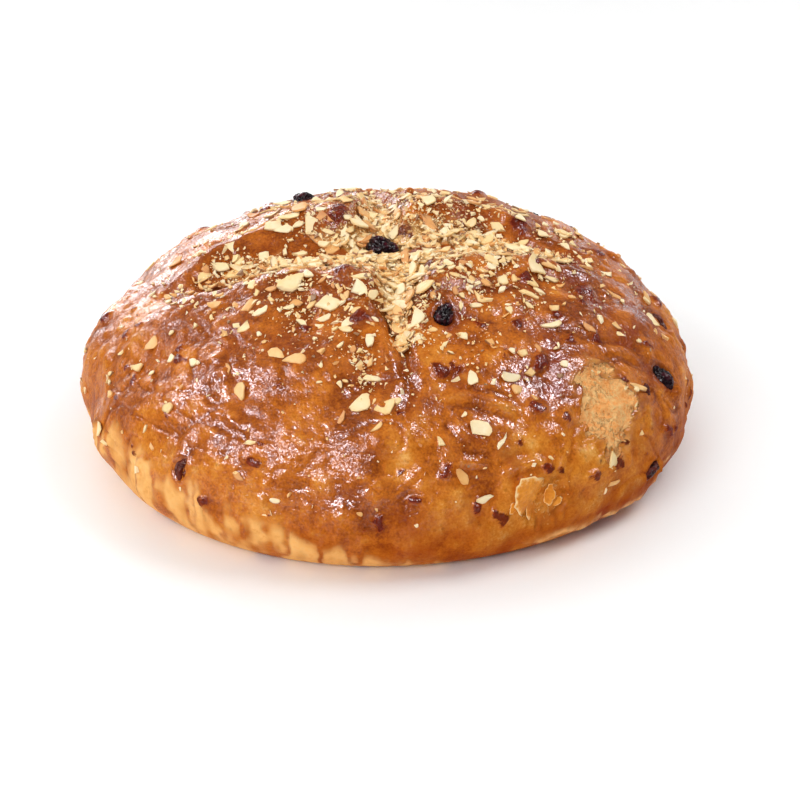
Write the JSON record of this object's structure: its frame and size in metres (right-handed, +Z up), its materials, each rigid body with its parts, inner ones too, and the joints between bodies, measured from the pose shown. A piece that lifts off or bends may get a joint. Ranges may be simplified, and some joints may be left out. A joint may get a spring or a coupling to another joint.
{
  "type": "easter bread",
  "caption": "Round domed sweet bread on a flat base, its top opened crosswise into lobes, strewn with flaked almonds and studded with raisins.",
  "frame": {"origin": "middle of the flat base, on the surface that the loaf rests on", "axes": "+Z up through the top of the loaf, -Y towards the side that the picture shows, +X to the right of it"},
  "size_m": [0.2434, 0.2376, 0.0875],
  "materials": {
    "crust": "glossy amber glaze over baked dough",
    "raisin": "wrinkled, satin"
  },
  "bodies": {
    "root": {"bread": "crust", "raisin_middle": "raisin", "raisin_front_lip": "raisin", "raisin_right_side": "raisin", "raisin_right_low": "raisin", "raisin_right_foot": "raisin", "raisin_right_brow": "raisin", "raisin_left_back": "raisin", "raisin_left_foot": "raisin", "raisin_back_right": "raisin", "raisin_back_left": "raisin"}
  },
  "joints": []
}
